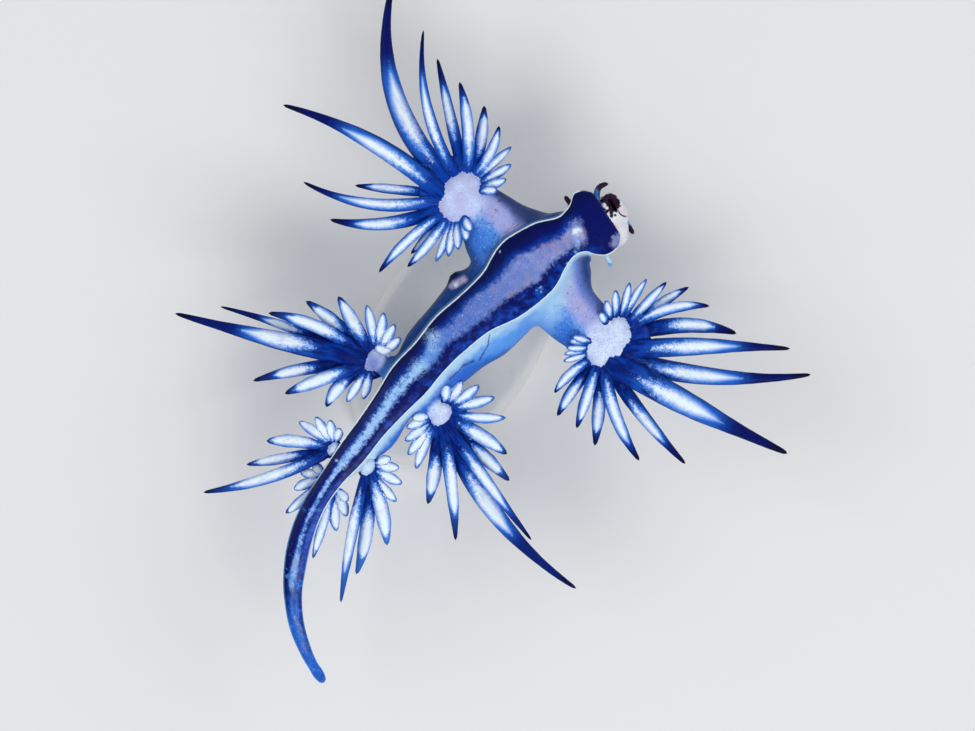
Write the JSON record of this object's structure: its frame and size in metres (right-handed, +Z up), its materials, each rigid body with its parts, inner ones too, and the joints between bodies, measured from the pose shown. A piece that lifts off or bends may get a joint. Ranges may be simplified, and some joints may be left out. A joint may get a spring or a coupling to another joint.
{
  "type": "blue dragon sea slug on a display stand",
  "caption": "Life-size blue dragon sea slug floating belly up, fans of pointed cerata spread from its sides, held by rods on an oval base.",
  "frame": {"origin": "centre of the underside of the stand's base, on the floor", "axes": "+Z up, the way the animal's foot faces; +Y towards its head; +X towards its left side"},
  "size_m": [0.0395, 0.0408, 0.0113],
  "materials": {
    "sole": "wet gloss, dark blue bands, pale middle",
    "flank": "wet gloss, silvery blue",
    "tail": "wet gloss, dark blue bands",
    "head": "wet gloss, whitish with a dark brown patch",
    "feelers": "wet gloss, dark tips",
    "cerata": "wet gloss, white bands and dark blue tips",
    "stand_base": "matt off-white",
    "stand_rods": "satin"
  },
  "bodies": {
    "root": {"foot_front": "sole", "foot_middle": "sole", "foot_rear": "sole", "trunk_front": "flank", "trunk_middle": "flank", "trunk_rear": "flank", "arm_front_right": "flank", "arm_front_left": "flank", "genital_papilla": "flank", "tail_front": "tail", "tail_middle": "tail", "tail_tip": "tail", "head": "head", "oral_tentacle_right": "feelers", "oral_tentacle_left": "feelers", "rhinophore_right": "feelers", "rhinophore_left": "feelers", "cerata_front_right": "cerata", "cerata_front_left": "cerata", "cerata_second_right": "cerata", "cerata_second_left": "cerata", "cerata_third_right": "cerata", "cerata_third_left": "cerata", "cerata_fourth_right": "cerata", "cerata_fourth_left": "cerata", "stand_base": "stand_base", "stand_rod_front": "stand_rods", "stand_rod_rear": "stand_rods"}
  },
  "joints": []
}
